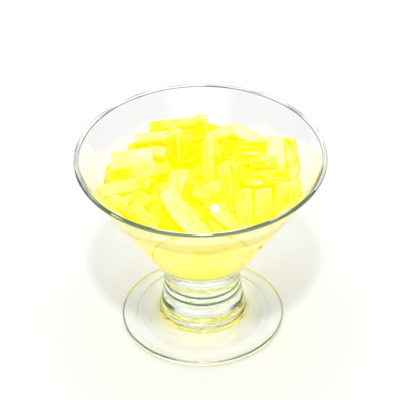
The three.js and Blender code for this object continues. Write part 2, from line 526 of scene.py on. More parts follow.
@dataclass(frozen=True)
class ClearGlass:
    """Pressed clear glass with painted reflections and light on it: dark and light lines along its lip, dark
    rings on its stem, yellow and white strokes at its base, and a foot tinted dark and yellow at its edge and
    faintly yellow on top. The painted layer glows a little of itself.

    Lengths in mm. A span says where a soft step starts and where it is full. A cover says how much
    of the tint shows at least, and how much more where its own pattern is strongest.
    """

    body: Colour = (0.74, 0.92, 0.85, 1.0)
    depth: float = 7.0
    passing: Passing = Passing((0.985, 0.985, 0.98, 1.0), (0.55, 0.56, 0.55, 1.0), 0.9)
    # The painted layer of reflections glows of itself by this much, though it is no lamp.
    painted_film_glow: float = 0.55
    streak_scale: float = 2.6
    streaks_up: float = 900.0
    lip_middle: float = 58.9
    lip_heights: Span = (95.4, 95.9)
    lip_reach: Span = (1.35, 1.15)
    lip_line: Span = (0.78, 1.02)
    lip_front: Span = (15.0, -15.0)
    lip_arcs: float = 0.36
    lip_patches: Span = (0.6, 0.66)
    lip_cover: Span = (0.42, 0.36)
    # The lip's painted reflections: dark lines and arcs of a dark room, light grey between them.
    painted_dark_reflection: Colour = (0.03, 0.09, 0.075, 1.0)
    painted_light_reflection: Colour = (0.86, 0.87, 0.88, 1.0)
    foot_line: Span = (38.3, 39.3)
    foot_heights: Span = (6.0, 5.0)
    foot_streaks: Span = (0.35, 0.65)
    foot_cover: Span = (0.25, 0.5)
    # Painted dark reflection along the foot's edge, also the colour that the painted marks take lower down.
    painted_foot_reflection: Colour = (0.36, 0.34, 0.17, 1.0)
    low_down: Span = (40.0, 10.0)
    # The stem's rings are painted dark reflections.
    ring_heights: Sequence[float] = (25.9, 22.0)
    ring_edge: Span = (0.96, 0.3)
    ring_reach: Span = (21.5, 21.0)
    painted_ring_reflection: Colour = (0.04, 0.05, 0.04, 1.0)
    ring_share: float = 0.85
    # The strokes at the stem's base are painted: the jelly's yellow seen through the stem, and white glints.
    base_heights: Sequence[Span] = ((9.5, 11.0), (15.5, 13.0))
    base_reach: Span = (22.5, 22.0)
    base_strokes: Span = (0.4, 0.52)
    base_whites: Span = (0.58, 0.64)
    painted_jelly_yellow: Colour = (0.6, 0.54, 0.0, 1.0)
    painted_white_glint: Colour = (1.0, 1.0, 0.95, 1.0)
    # The foot's edge carries painted lines: dark and light reflections, and the jelly's yellow at its hem.
    edge_reach: Span = (38.4, 38.8)
    edge_top: Span = (4.0, 3.6)
    edge_line: Span = (2.3, 2.7)
    hem_top: Span = (1.9, 1.1)
    hem_share: float = 0.8
    # The halo is painted yellow light from the jelly on the foot's top.
    halo_reach: Span = (30.0, 23.0)
    halo_heights: Sequence[Span] = ((9.0, 8.0), (2.0, 3.0))
    painted_yellow_light: Colour = (1.0, 0.93, 0.3, 1.0)
    halo_share: float = 0.13
    rim_heights: Span = (84.0, 96.0)
    rim_shade: float = 0.05
    wavy: Span = (36.0, 34.0)
    wave: float = 0.12
    wave_depth: float = 1.5
    ripple_scale: float = 1.5
    ripple_shape: Triple = (1.0, 1.0, 0.28)

    def material(self) -> Material:
        """Makes the finish."""
        sheet = Sheet("clear_pressed_glass")
        sheet.absorb(self.body, self.depth)
        x, y, z = sheet.split(sheet.place())
        square = sheet.math("ADD", sheet.product(x, x), sheet.product(y, y))
        radius = sheet.math("SQRT", square)
        turn = [sheet.math("DIVIDE", side, radius) for side in (x, y)]
        up = sheet.product(sheet.math("ADD", radius, z), self.streaks_up)
        round_it = sheet.node("CombineXYZ", *turn, up).outputs[0]
        streaks = sheet.noise(round_it, self.streak_scale, 2.0)
        # Painted dark reflection arcs, set by place on the front half of the lip, broken up by the streaks.
        diagonal = sheet.math("ABSOLUTE", sheet.math("DIVIDE", sheet.product(x, y), square))
        arcs = sheet.product(diagonal, sheet.fade_mm(y, self.lip_front), self.lip_arcs)
        patches = sheet.fade(sheet.math("ADD", streaks, arcs), self.lip_patches)
        across = sheet.away(radius, self.lip_middle * MM)
        lines = sheet.math("MAXIMUM", sheet.fade_mm(across, self.lip_line), patches)
        lip = sheet.product(sheet.fade_mm(z, self.lip_heights), sheet.fade_mm(across, self.lip_reach))
        on_lip = sheet.product(lip, sheet.share(lines, *self.lip_cover))
        lip_colour = sheet.blend(lines, self.painted_light_reflection, self.painted_dark_reflection)
        on_foot, colour = self.foot(sheet, radius, z, streaks, lip_colour)
        # The painted reflections glow of themselves.
        painted_glow = {"Emission_Color": colour, "Emission_Strength": self.painted_film_glow}
        film = sheet.principled(Base_Color=colour, Roughness=0.1, IOR=1.5, **painted_glow)
        ripple = sheet.noise(sheet.stretched(round_it, self.ripple_shape), self.ripple_scale, 1.0)
        strength = sheet.product(sheet.fade_mm(z, self.wavy), self.wave)
        waves = sheet.node("Bump", strength, self.wave_depth * MM)
        sheet.join(ripple, waves.inputs["Height"])
        glass = sheet.principled(
            Base_Color=WHITE, Roughness=0.0, IOR=1.5, Transmission_Weight=1.0, Normal=waves.outputs[0],
        )
        mix = sheet.mixed(sheet.math("MAXIMUM", on_lip, on_foot), glass, film)
        shade = sheet.product(sheet.fade_mm(z, self.rim_heights), self.rim_shade)
        return sheet.see_through(mix, self.passing, shade)

    def foot(
        self, sheet: Sheet, radius: Socket, z: Socket, streaks: Socket, colour: Socket,
    ) -> tuple[Socket, Socket]:
        """The painted reflections and light on the stem and foot: dark rings on the stem, yellow and white
        strokes at its base, the foot's dark, light and yellow edge lines, and the faint yellow light on its
        top.

        Args:
            sheet: The glass's sheet.
            radius: How far each point is from the axis.
            z: Each point's height.
            streaks: The streaks round the glass.
            colour: The lip's colour, which stays above all this.

        Returns:
            How much of all this shows, and its colour.
        """
        foot = sheet.product(sheet.fade_mm(radius, self.foot_line), sheet.fade_mm(z, self.foot_heights))
        shown = sheet.product(foot, sheet.share(sheet.fade(streaks, self.foot_streaks), *self.foot_cover))
        ring: object = 0.0
        for height in self.ring_heights:
            near = sheet.fade_mm(sheet.away(z, height * MM), self.ring_edge)
            ring = sheet.math("MAXIMUM", ring, near)
        ring = sheet.product(ring, sheet.fade_mm(radius, self.ring_reach))
        base = sheet.product(sheet.fade_mm(z, *self.base_heights), sheet.fade_mm(radius, self.base_reach))
        base = sheet.product(base, sheet.fade(streaks, self.base_strokes))
        strokes = sheet.blend(sheet.fade(streaks, self.base_whites), self.painted_jelly_yellow, self.painted_white_glint)
        rim = sheet.fade_mm(radius, self.edge_reach)
        edge = sheet.product(rim, sheet.fade_mm(z, self.edge_top))
        hem = sheet.product(sheet.fade_mm(z, self.hem_top), rim)
        line = sheet.blend(sheet.fade_mm(z, self.edge_line), self.painted_light_reflection, self.painted_dark_reflection)
        halo = sheet.product(sheet.fade_mm(radius, self.halo_reach), sheet.fade_mm(z, *self.halo_heights))
        # Each painted reflection or light takes its colour in turn.
        tints = (
            (foot, self.painted_foot_reflection), (sheet.fade_mm(z, self.low_down), self.painted_foot_reflection), (ring, self.painted_ring_reflection),
            (base, strokes), (edge, sheet.blend(hem, line, self.painted_jelly_yellow)), (halo, self.painted_yellow_light),
        )
        for mask, tint in tints:
            colour = sheet.blend(mask, colour, tint)
        for mask, share in ((ring, self.ring_share), (hem, self.hem_share), (halo, self.halo_share)):
            shown = sheet.math("MAXIMUM", shown, sheet.product(mask, share))
        return sheet.math("MAXIMUM", shown, base), colour


@dataclass(frozen=True)
class YellowSyrup:
    """Clear syrup, yellow only by its depth."""

    body: Colour = (1.0, 0.97, 0.27, 1.0)
    depth: float = 70.0
    passing: Passing = Passing((1.0, 1.0, 0.975, 1.0), (0.94, 0.93, 0.87, 1.0), 0.9)

    def material(self) -> Material:
        """Makes the finish."""
        sheet = Sheet("clear_yellow_syrup")
        sheet.absorb(self.body, self.depth)
        shader = sheet.principled(Base_Color=WHITE, Roughness=0.0, IOR=1.36, Transmission_Weight=1.0)
        return sheet.see_through(shader, self.passing)


@dataclass(frozen=True)
class WetJelly:
    """Pale yellow coconut jelly, wet, with soft streaks along each strip, painted shade deep yellow in its
    gaps, painted light paler on its tops and along its edges, and glowing of itself.

    A gain says how much a pattern changes how pale the jelly is. Lengths in mm.
    """

    # The deep colour is the jelly's own deeper tone and, in the gaps, painted shade.
    deep: Colour = (1.0, 0.9, 0.0, 1.0)
    pale: Colour = (1.0, 0.98, 0.55, 1.0)
    brim: Colour = (1.0, 0.87, 0.02, 1.0)
    brim_width: float = 0.3
    passing: Passing = Passing((0.985, 0.985, 0.965, 1.0), (0.95, 0.945, 0.9, 1.0), 0.8)
    # The jelly glows of itself by this much, painted light standing for light passing through it; body is the
    # share of the colour that is lit.
    painted_glow: float = 0.62
    body: float = 0.42
    softness: Triple = (1.0, 0.95, 0.2)
    scatter: float = 4.0
    grain: Triple = (0.07, 0.6, 0.6)
    streak_gain: float = 0.9
    # Painted light: how much paler the jelly is painted along its edges.
    painted_edge_light: float = 0.7
    patch_scale: float = 75.0
    patch_gain: float = 1.3
    painted_gap_shade: float = 2.6
    # Painted light: faces that look up are painted paler, as if lit from above.
    painted_top_light: Span = (0.0, 0.8)
    painted_top_light_cover: Span = (0.4, 0.6)
    bump: float = 0.2
    bump_depth: float = 0.4

    def material(self) -> Material:
        """Makes the finish: painted light paler on top and along edges, painted shade deep in the gaps,
        yellow at its outline, glowing of itself.
        """
        sheet = Sheet("wet_coconut_jelly")
        streaks = sheet.noise(sheet.stretched(sheet.attribute("grain", "Vector"), self.grain), 1.0, 3.0)
        patches = sheet.noise(sheet.place(), self.patch_scale, 1.0)
        pale = sheet.math("ADD", sheet.attribute("paleness"), sheet.about(streaks, self.streak_gain))
        # Painted light along the edges.
        pale = sheet.math("ADD", pale, sheet.product(sheet.attribute("edge"), self.painted_edge_light))
        pale = sheet.math("ADD", pale, sheet.about(patches, self.patch_gain))
        # Painted shade: the less open a point lies, the deeper yellow it is painted.
        openness = sheet.math("POWER", sheet.attribute("openness"), self.painted_gap_shade)
        # Painted light on the tops, from the surface's upward lean.
        normal = sheet.split(sheet.node("NewGeometry").outputs["Normal"])
        painted_top_light = sheet.share(sheet.fade(normal[2], self.painted_top_light), *self.painted_top_light_cover)
        pale = sheet.product(sheet.math("MAXIMUM", pale, 0.0), sheet.product(openness, painted_top_light))
        graze = sheet.node("LayerWeight", self.brim_width).outputs["Facing"]
        colour = sheet.blend(pale, self.deep, self.pale)
        colour = sheet.blend(sheet.math("POWER", graze, 2.0), colour, self.brim)
        bump = sheet.node("Bump", self.bump, self.bump_depth * MM)
        sheet.join(streaks, bump.inputs["Height"])
        # The colour shows partly lit and partly as painted glowing light, so faces in shade stay bright.
        shader = sheet.principled(
            Base_Color=sheet.blend(self.body, BLACK, colour), Roughness=0.35, IOR=1.36, Subsurface_Weight=1.0,
            Subsurface_Scale=self.scatter * MM, Subsurface_Radius=self.softness, Specular_IOR_Level=0.05,
            Coat_Weight=0.25, Coat_Roughness=0.03, Emission_Color=colour, Emission_Strength=self.painted_glow,
            Normal=bump.outputs[0],
        )
        return sheet.see_through(shader, self.passing)


@dataclass(frozen=True)
class SunkJelly:
    """Jelly under the syrup: half clear, bright yellow all through and glowing of itself as painted light,
    with painted light paler along its edges.
    """

    body: Colour = (1.0, 0.93, 0.3, 1.0)
    # Painted light: the colour along the edges.
    rim: Colour = (1.0, 0.97, 0.6, 1.0)
    clearness: float = 0.4
    # The sunk jelly glows of itself, painted light.
    painted_glow: float = 0.3
    passing: Passing = Passing((1.0, 1.0, 0.98, 1.0), (1.0, 1.0, 0.95, 1.0), 1.0)

    def material(self) -> Material:
        """Makes the finish."""
        sheet = Sheet("sunk_coconut_jelly")
        tint = sheet.blend(sheet.attribute("edge"), self.body, self.rim)
        shader = sheet.principled(
            Base_Color=tint, Roughness=0.0, IOR=1.0, Transmission_Weight=self.clearness,
            Emission_Color=tint, Emission_Strength=self.painted_glow,
        )
        return sheet.see_through(shader, self.passing)


@dataclass(frozen=True)
class Bubble:
    """Fine bubbles of air under a wet skin."""

    body: Colour = (1.0, 1.0, 0.72, 1.0)

    def material(self) -> Material:
        """Makes the finish."""
        sheet = Sheet("fine_bubbles")
        wet = {"Coat_Weight": 0.3, "Coat_Roughness": 0.05}
        return sheet.show(sheet.principled(Base_Color=self.body, Roughness=0.25, IOR=1.36, **wet))


# ---- The glass ----


@dataclass(frozen=True)
class GlassCoupe:
    """The footed glass: a solid foot and stem under a straight-sided bowl.

    Sizes in mm. A point has its radius and its height: waist, shoulder, fillet and slope are the
    points that the bends beside them are drawn towards.
    """

    height: float = 98.0
    rim_radius: float = 60.0
    rim_round: float = 1.1
    cone_flare: float = 0.633
    wall_at_rim: float = 2.6
    wall_gain: float = 0.0158
    bowl_floor: float = 38.3
    bowl_round: float = 18.0
    bowl_start: float = 23.6
    stem_shoulder: Point = (19.7, 34.5)
    stem_top: Point = (18.8, 31.5)
    stem_waist: Point = (18.2, 24.0)
    stem_base: Point = (20.6, 10.5)
    hub_fillet: Point = (20.9, 8.4)
    hub: Point = (24.0, 7.0)
    foot_slope: Point = (30.0, 5.0)
    foot_radius: float = 39.9
    foot_edge_round: float = 1.6
    hollow_radius: float = 31.0
    hollow_depth: float = 1.2
    hollow_lip: float = 3.5
    lip_blend: float = 3.5
    steps: int = 192

    @property
    def lip_height(self) -> float:
        """The height of the middle of the rounded lip."""
        return self.height - self.rim_round

    @property
    def inner_lean(self) -> float:
        """How far the bowl's inside leans outwards from upright, in radians."""
        return math.atan(self.cone_flare + self.wall_gain)

    def outer_radius(self, z: float) -> float:
        """The bowl's outside radius at a height."""
        return self.rim_radius - self.cone_flare * (self.lip_height - z)

    def outer_height(self, r: float) -> float:
        """The height at which the bowl's outside has a radius."""
        return self.lip_height - (self.rim_radius - r) / self.cone_flare

    def inner_radius(self, z: float) -> float:
        """The bowl's inside radius at a height on its straight part."""
        return self.outer_radius(z) - self.wall_at_rim - self.wall_gain * (self.lip_height - z)

    def inside(self, top: float, clearance: float, steps: int) -> Outline:
        """The bowl's inside, from the middle of its floor up the wall.

        Args:
            top: The height that the outline reaches.
            clearance: How far it stays inside the wall, or below nought how far it reaches into it.
            steps: How many steps its rounded corner has.

        Returns:
            The outline.
        """
        lean = self.inner_lean
        centre = self.inner_radius(self.bowl_floor) - self.bowl_round * (1 - math.sin(lean)) / math.cos(lean)
        height, radius = self.bowl_floor + self.bowl_round, self.bowl_round - clearance
        corner = arc(centre, height, radius, -90, -math.degrees(lean), steps)
        shift = clearance / math.cos(lean)
        heights = [corner[-1][1] + (top - corner[-1][1]) * part for part in (0.01, 0.1, 0.3, 0.6, 0.9, 1.0)]
        wall = [(self.inner_radius(z) - shift, z) for z in heights]
        floor = [(0.0, self.bowl_floor + clearance), (corner[0][0] - 0.5, self.bowl_floor + clearance)]
        return [*floor, *corner, *wall]

    def outline(self) -> Outline:
        """The whole outline, from the middle of the underside round to the bowl's floor."""
        edge = self.foot_edge_round
        edge_centre = self.foot_radius - edge
        hollow_end = (self.hollow_radius + self.hollow_lip, 0)
        hollow = bend((self.hollow_radius, self.hollow_depth), (self.hollow_radius + 2, 0), hollow_end, 6)
        foot_edge = arc(edge_centre, edge, edge, -90, 70, 14)
        foot_top = bend((edge_centre - 1, 2 * edge + 0.1), self.foot_slope, self.hub, 10)
        stem_foot = bend((self.hub[0] - 1, self.hub[1] + 0.3), self.hub_fillet, self.stem_base, 10)
        stem_start = (self.stem_base[0] - 0.15, self.stem_base[1] + 2)
        stem = bend(stem_start, self.stem_waist, self.stem_top, 12)
        bowl_foot = self.outer_height(self.bowl_start)
        stem_end = (self.stem_top[0] + 0.1, self.stem_top[1] + 1)
        shoulder = bend(stem_end, self.stem_shoulder, (self.bowl_start, bowl_foot), 10)
        lip = arc(self.rim_radius - self.rim_round, self.lip_height, self.rim_round, -30, 150, 16)
        near_lip = (self.lip_height - 2, self.lip_height - 0.9)
        wall = [bowl_foot + rise for rise in (0.4, 2, 8, 18, 30, 42, 50)]
        outside = [(self.outer_radius(z), z) for z in (*wall, *near_lip)]
        inside = [(self.inner_radius(z), z) for z in near_lip[::-1]]
        inside += self.inside(self.lip_height - self.lip_blend, 0.0, 16)[::-1]
        middle = [(0.0, self.hollow_depth), (self.hollow_radius - 1, self.hollow_depth)]
        foot = [*middle, *hollow, *foot_edge, *foot_top]
        return [*foot, *stem_foot, *stem, *shoulder, *outside, *lip, *inside]

    def room(self, ceiling: float, clearance: float) -> Piece:
        """The space in the bowl up to a ceiling that strips may fill, this far inside the wall."""
        outline = [*self.inside(ceiling, clearance, 12), (0.0, ceiling)]
        return turned_shell("room", outline, 96, 40)

    def build(self) -> Piece:
        """Turns the glass and dresses it."""
        glass = turned_shell("coupe_glass", self.outline(), self.steps, 50)
        finish_piece(glass, ClearGlass().material(), GLASS_NODE)
        return glass


# ---- The syrup ----


@dataclass(frozen=True)
class SyrupPool:
    """The clear syrup round the strips, reaching just into the wall. Sizes in mm."""

    coupe: GlassCoupe
    level: float = 79.6
    meniscus: float = 0.25
    meniscus_width: float = 2.0
    into_wall: float = 0.45
    steps: int = 96

    def outline(self) -> Outline:
        """From the middle of the bowl's floor up the wall and over the surface to the middle."""
        top = self.level + self.meniscus
        wall = self.coupe.inside(top, -self.into_wall, 10)
        edge = self.coupe.inner_radius(top)
        end = (edge - self.meniscus_width, self.level)
        surface = bend((edge, top), (edge - 0.4, self.level + 0.05), end, 6)
        return [*wall, *surface, (edge - 20.0, self.level), (0.0, self.level)]

    def build(self) -> Piece:
        """Turns the pool and dresses it."""
        pool = turned_shell("syrup_pool", self.outline(), self.steps, 40)
        pool.visible_shadow = pool.visible_diffuse = False
        finish_piece(pool, YellowSyrup().material(), HEAP_NODE)
        return pool


# ---- The jelly ----


# What every strip shares: lengths in mm, the slant in degrees, the taper as a part of the strip's size.
UNEVENNESS = 0.55
EDGE_SOFTNESS = 1.5
# How far in from an edge the painted edge light reaches, mm.
EDGE_GLOW = 0.6
END_TAPER = (0.74, 1.04)
END_SLANT = 20.0
# What keeps one strip's unevenness and grain apart from the next one's.
SEED_STEP = 7919
GRAIN_STEP = Vector((137.0, 41.0, 59.0))


@dataclass(frozen=True)
class Strip:
    """One cut strip: its middle, size and bow in mm, its turns in degrees, and how pale it is."""

    place: str
    x: float
    y: float
    z: float
    swing: float
    tilt: float
    roll: float
    length: float
    width: float
    thickness: float
    paleness: float
    bow: float = 0.0

    def build(self, seed: int, room: Piece) -> Piece:
        """Cuts the strip, softens it and lays it in its place.

        Args:
            seed: Where its random unevenness starts.
            room: The bowl's inside, which the strip gives way to.

        Returns:
            The strip in its place.
        """
        piece = self.cut(seed)
        self.mark(piece, seed)
        piece.rotation_euler = Euler([math.radians(a) for a in (self.roll, -self.tilt, self.swing)])
        piece.location = Vector((self.x, self.y, self.z)) * MM
        settle(piece)
        wrap = {"wrap_method": "NEAREST_SURFACEPOINT", "wrap_mode": "INSIDE"}
        apply_modifier(piece, "SHRINKWRAP", target=room, **wrap)
        return piece

    def cut(self, seed: int) -> Piece:
        """Cuts a bar of the strip's size at the origin and softens its edges and faces."""
        between = seeded_draw(SEED_STEP * seed)
        piece = bar(self.place, (self.length, self.width, self.thickness))
        for end in (-1, 1):
            select_vertices(piece, lambda co, end=end: co.x * end > 0)
            bpy.ops.transform.resize(value=(1.0, between(*END_TAPER), between(*END_TAPER)))
            bpy.ops.transform.rotate(
                value=math.radians(between(-END_SLANT, END_SLANT)), orient_axis="Z",
                center_override=(end * 0.5 * self.length * MM, 0.0, 0.0),
            )
        bpy.ops.mesh.select_all(action="SELECT")
        bpy.ops.mesh.subdivide(number_cuts=3)
        self.bend(piece)
        bpy.ops.mesh.select_all(action="SELECT")
        bpy.ops.transform.vertex_random(offset=UNEVENNESS * MM, uniform=0.0, normal=0.0, seed=seed)
        bpy.ops.object.mode_set(mode="OBJECT")
        soft = {"width": EDGE_SOFTNESS * MM, "segments": 2, "angle_limit": math.radians(50)}
        apply_modifier(piece, "BEVEL", limit_method="ANGLE", **soft)
        apply_modifier(piece, "SUBSURF", levels=1, render_levels=1)
        return piece

    def bend(self, piece: Piece) -> None:
        """Bows a bar sideways, column by column, and leaves it in edit mode."""
        if not self.bow:
            return
        for column in (-0.5, 0.0, 0.5):
            middle, reach = 0.5 * column * self.length * MM, 0.1 * self.length * MM
            select_vertices(piece, lambda co: abs(co.x - middle) < reach)
            bpy.ops.transform.translate(value=(0.0, self.bow * (1 - column * column) * MM, 0.0))

    def mark(self, piece: Piece, seed: int) -> None:
        """Keeps the strip's own grain, edges and paleness on its mesh.

        Args:
            piece: The strip before it is laid in place.
            seed: A number that moves the grain on, so that no two strips have the same streaks.
        """
        half = (0.5 * self.length, 0.5 * self.width, 0.5 * self.thickness)
        move = GRAIN_STEP * seed
        grain: list[float] = []
        edge: list[float] = []
        for corner in piece.data.loops:
            own = piece.data.vertices[corner.vertex_index].co / MM
            gaps = sorted(h - abs(c) for h, c in zip(half, own))
            grain.extend(own + move)
            # The edge value lets the finishes paint light paler along the strip's edges.
            edge.append(math.exp(-max(gaps[1], 0.0) / EDGE_GLOW))
        keep_attribute(piece, "grain", "CORNER", grain, kind="FLOAT_VECTOR")
        keep_attribute(piece, "edge", "CORNER", edge)
        keep_attribute(piece, "paleness", "CORNER", [self.paleness] * len(edge))


SHOWN_STRIPS = (
    Strip("back_left_slab", -12.5, 41, 85, 9, 1, 4, 25, 8, 7, 0.3),
    Strip("back_block", 1, 42, 82, 90, 68, 0, 15, 8, 7, 0.3),
    Strip("back_left_lower", -20.5, 32, 84, 8, 0, 10, 24, 8, 7, 0.7),
    Strip("back_left_wedge", -14.5, 33, 84, 60, 10, 30, 12, 8, 7, 0.2),
    Strip("back_fill", -5, 36, 82, 8, 0, 20, 18, 9, 8, 0.0),
    Strip("left_pale_slab", -33, 15.5, 83.5, 7, 0, 28, 21, 12.5, 7.5, 0.8),
    Strip("left_chip", -20.5, 19.5, 85, -25, 10, 20, 9, 7, 6, 0.6),
    Strip("left_edge_piece", -37, 5, 82, 10, 0, 15, 15, 9, 7, 0.2),
    Strip("left_mid_block", -25.5, 7, 83, -4, 0, 20, 14, 9, 7, 0.15),
    Strip("left_front_strip", -39, -10, 85.5, 22, -4, 8, 20, 9, 7, 0.28),
    Strip("left_front_lower", -40.5, -18, 84, -32, 0, 20, 15, 9, 6.5, 0.3),
    Strip("left_cube", -29.5, -15.5, 83, -44, 0, 10, 12, 10, 7, 0.3),
    Strip("front_left_diag", -27.5, -29.5, 83, -50, 3, 10, 22, 8.5, 7, 0.35),
    Strip("lean_big", -14, -13, 83, 68, 25, 0, 29, 9.5, 7.5, 0.4),
    Strip("curved_pale", -8, -27.5, 84, 122, 12, -6, 32, 10, 7, 0.6, 1.8),
    Strip("front_under", -10, -29, 80.5, 100, 20, 0, 18, 10, 7, 0.3),
    Strip("front_small", 12, -32, 81.5, 128, 8, 10, 15, 10, 7, 0.15),
    Strip("centre_ridge", 5.5, 11, 83, 92, 20, 45, 27, 8.2, 8.2, 0.3),
    Strip("left_ridge", -9.5, 17.5, 81.5, 92, 26, 42, 26, 11, 9.5, 0.05),
    Strip("gable_left", 11, 33, 84.5, 4, 25, 15, 16, 9.5, 8, 0.6),
    Strip("gable_right", 23.5, 31.5, 84.5, -20, -22, 20, 18, 9.5, 8, 1.1),
    Strip("back_gap_strip", 6, 37, 81.5, 25, 0, 15, 14, 8, 7, 0.1),
    Strip("right_deep_slab", 21.5, 22.5, 83, -4, 0, 12, 25, 11, 8, -0.3),
    Strip("right_block", 37.5, 17, 84.3, 84, 30, 6, 20, 14.5, 7.5, 1.05),
    Strip("right_block_edge", 43, 15, 84.5, 98, 22, 30, 20, 8, 7.5, 0.2),
    Strip("right_bubbly", 30, 11.5, 83.3, 5, 0, 20, 13, 8, 7, 0.2),
    Strip("right_slab", 31, -3, 84.5, 0, 0, 15, 24, 9.5, 8, -0.1),
    Strip("lean_ridge", 14, -6.5, 82.5, 97, 24, 42, 28, 8.4, 8.4, 0.2),
    Strip("front_post_1", 20, -21.5, 82, 90, 34, 0, 19, 9, 7, 0.15),
    Strip("front_post_2", 29, -21, 82.5, 88, 34, 6, 18, 9.5, 7, 0.2),
    Strip("front_post_3", 38.5, -18.5, 83.5, 80, 30, 0, 18, 9.5, 7, 0.2),
    Strip("right_edge_strip", 44, -7.5, 84.5, 98, 15, 30, 21, 6.5, 6.5, 0.3),
    Strip("gloss_chip", 6.3, -22.5, 81.5, 0, 0, 39, 9, 10, 7, 0.05),
    Strip("ridge_small_1", -3, -4, 81, 130, 10, 30, 13, 7, 6, 0.2),
    Strip("ridge_small_2", 5, -5, 81, 10, 5, 30, 10, 8, 6, 0.3),
    Strip("wall_left", -39.9, -23, 81.5, -60, 0, -58, 26, 10, 4.5, 0.4),
    Strip("wall_front_left", -23.4, -40.5, 82.5, -30, 0, -58, 26, 12, 4.5, 0.6),
    Strip("wall_front", 0, -46.8, 82.5, 0, 0, -58, 26, 12, 4.5, 0.6),
    Strip("wall_front_right", 23.4, -40.5, 82.5, 30, 0, -58, 26, 12, 4.5, 0.6),
    Strip("wall_right", 39.9, -23, 81.5, 60, 0, -58, 26, 10, 4.5, 0.4),
)


@dataclass(frozen=True)
class JellyHeap:
    """All the strips that show above the syrup, and those that lie low in the gaps between them."""

    coupe: GlassCoupe
    ceiling: float = 92.6
    into_wall: float = 0.3
    gap_count: int = 34
    gap_reach: float = 41.0
    gap_seed: int = 20417
    bed_count: int = 34
    bed_reach: float = 42.0
    bed_height: float = 77.5
    bed_size: Triple = (17, 10, 6)
    low_paleness: float = 0.1

    def gap_strips(self) -> list[Strip]:
        """The strips low in the gaps: turned every way and spread evenly over the heap."""
        between = seeded_draw(self.gap_seed)
        strips = []
        for i, (x, y) in enumerate(spread(self.gap_reach, self.gap_count)):
            z = between(79.5, 82)
            turns = (between(0, 180), between(-14, 14), between(-25, 25))
            size = (between(12, 17), between(6.5, 8.5), between(5, 6.5))
            strips.append(Strip(f"gap_{i}", x, y, z, *turns, *size, self.low_paleness))
        for i, (x, y) in enumerate(spread(self.bed_reach, self.bed_count, 1.0)):
            turns = (between(0, 180), between(-6, 6), 0)
            strips.append(Strip(f"bed_{i}", x, y, self.bed_height, *turns, *self.bed_size, self.low_paleness))
        return strips

    def build(self) -> Piece:
        """Lays every strip, fuses them and dresses them."""
        room = self.coupe.room(self.ceiling, -self.into_wall)
        strips = [*SHOWN_STRIPS, *self.gap_strips()]
        pieces = [strip.build(seed, room) for seed, strip in enumerate(strips, start=1)]
        heap = fuse(pieces, "jelly_strips")
        mark_openness(heap)
        bpy.data.objects.remove(room)
        finish_piece(heap, WetJelly().material(), HEAP_NODE)
        return heap


@dataclass(frozen=True)
class SunkStrips:
    """The strips that lie under the syrup and fill the bowl up to its surface."""

    coupe: GlassCoupe
    layers: tuple[tuple[float, float, int], ...] = (
        (69.0, 37.0, 15), (61.0, 31.0, 11), (53.0, 24.0, 8), (45.5, 15.0, 4),
    )
    ceiling: float = 79.2
    clearance: float = 0.5
    seed: int = 5303
    first_strip_seed: int = 301

    def strips(self) -> list[Strip]:
        """The strips layer by layer: height, reach and number of each layer's strips."""
        between = seeded_draw(self.seed)
        strips = []
        for height, reach, count in self.layers:
            for x, y in spread(reach, count, between(0, FULL_TURN), 0.6):
                turns = (between(0, 180), between(-16, 16), between(-30, 30))
                size = (between(13, 19), between(7, 8.5), between(7.2, 8.4))
                z = height + between(-1.5, 1.5)
                strips.append(Strip("sunk", x, y, z, *turns, *size, between(0.3, 0.6)))
        return strips

    def build(self) -> Piece:
        """Lays every sunk strip, fuses them and dresses them."""
        room = self.coupe.room(self.ceiling, self.clearance)
        pieces = [strip.build(self.first_strip_seed + i, room) for i, strip in enumerate(self.strips())]
        bed = fuse(pieces, "sunk_strips")
        bpy.data.objects.remove(room)
        finish_piece(bed, SunkJelly().material(), HEAP_NODE)
        return bed


